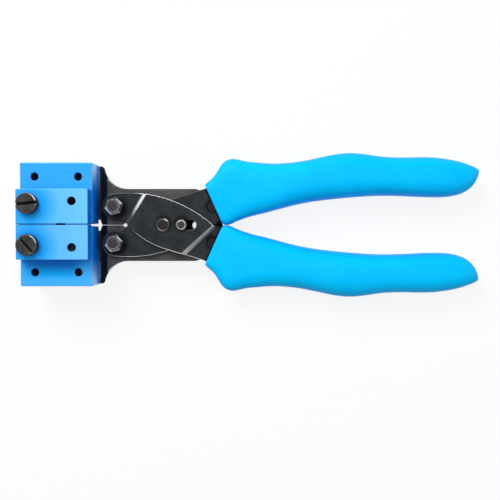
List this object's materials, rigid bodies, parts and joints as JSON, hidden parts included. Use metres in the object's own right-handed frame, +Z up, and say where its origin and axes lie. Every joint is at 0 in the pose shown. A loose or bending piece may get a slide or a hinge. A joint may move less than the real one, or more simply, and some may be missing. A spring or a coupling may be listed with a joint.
{
  "type": "rj45 crimping tool",
  "caption": "Pliers-type crimping tool for modular plugs, with parallel jaws that carry blue die blocks, crossed black steel levers and contoured azure vinyl grips.",
  "frame": {"origin": "middle of the tool's box, on the surface it lies on, with the handles closed", "axes": "+X along the tool to the grips, +Y the way the upper jaw opens, +Z up out of the front, where the nuts and slotted screws are"},
  "size_m": [0.2274, 0.0736, 0.0384],
  "materials": {
    "grip_vinyl": "matt dipped vinyl with a fine grain",
    "die_blue": "satin blue anodised, faint machining lines",
    "lever_steel": "blue-black oxide, satin",
    "jaw_steel": "brown-black oxide, satin",
    "bolt_steel": "black oxide with bright edges",
    "rivet_steel": "oiled steel",
    "screw_steel": "dark brown steel",
    "tool_steel": "ground tool steel"
  },
  "bodies": {
    "lower_handle": {"lower_front_plate": "lever_steel", "lower_back_plate": "lever_steel", "lower_spacer": "lever_steel", "lower_shank_rivets": "rivet_steel", "lower_grip": "grip_vinyl", "pivot_rivet": "rivet_steel", "stop_pin": "rivet_steel", "upper_jaw_bolt": "bolt_steel", "upper_jaw_nut": "bolt_steel", "lower_guide_pin": "rivet_steel"},
    "upper_handle": {"upper_front_plate": "lever_steel", "upper_back_plate": "lever_steel", "upper_spacer": "lever_steel", "upper_shank_rivets": "rivet_steel", "upper_grip": "grip_vinyl", "lower_jaw_bolt": "bolt_steel", "lower_jaw_nut": "bolt_steel", "upper_guide_pin": "rivet_steel"},
    "upper_jaw": {"upper_jaw": "jaw_steel", "upper_die_block": "die_blue", "upper_face_plate": "die_blue", "upper_clamp_screw": "screw_steel", "upper_dowel": "screw_steel", "upper_die_screws": "screw_steel", "contact_punch": "tool_steel", "strain_punch": "tool_steel"},
    "lower_jaw": {"lower_jaw": "jaw_steel", "lower_die_block": "die_blue", "lower_face_plate": "die_blue", "lower_clamp_screw": "screw_steel", "lower_dowel": "screw_steel", "lower_die_screws": "screw_steel", "plug_nest": "tool_steel"}
  },
  "joints": [
    {"name": "handle_pivot", "type": "hinge", "parent": "lower_handle", "child": "upper_handle", "pos_m": [-0.0454, 0, 0.0105], "axis": [0, 0, 1], "range_deg": [0, 22]},
    {"name": "upper_jaw_pivot", "type": "hinge", "parent": "lower_handle", "child": "upper_jaw", "pos_m": [-0.0698, 0.0092, 0.0105], "axis": [0, 0, 1], "range_deg": [0, 11]},
    {"name": "lower_jaw_pivot", "type": "hinge", "parent": "upper_handle", "child": "lower_jaw", "pos_m": [-0.0698, -0.0092, 0.0105], "axis": [0, 0, 1], "range_deg": [-11, 0]}
  ],
  "couplings": [
    {"joint": "upper_jaw_pivot", "follows": "handle_pivot", "ratio": 0.5},
    {"joint": "lower_jaw_pivot", "follows": "handle_pivot", "ratio": -0.5}
  ]
}
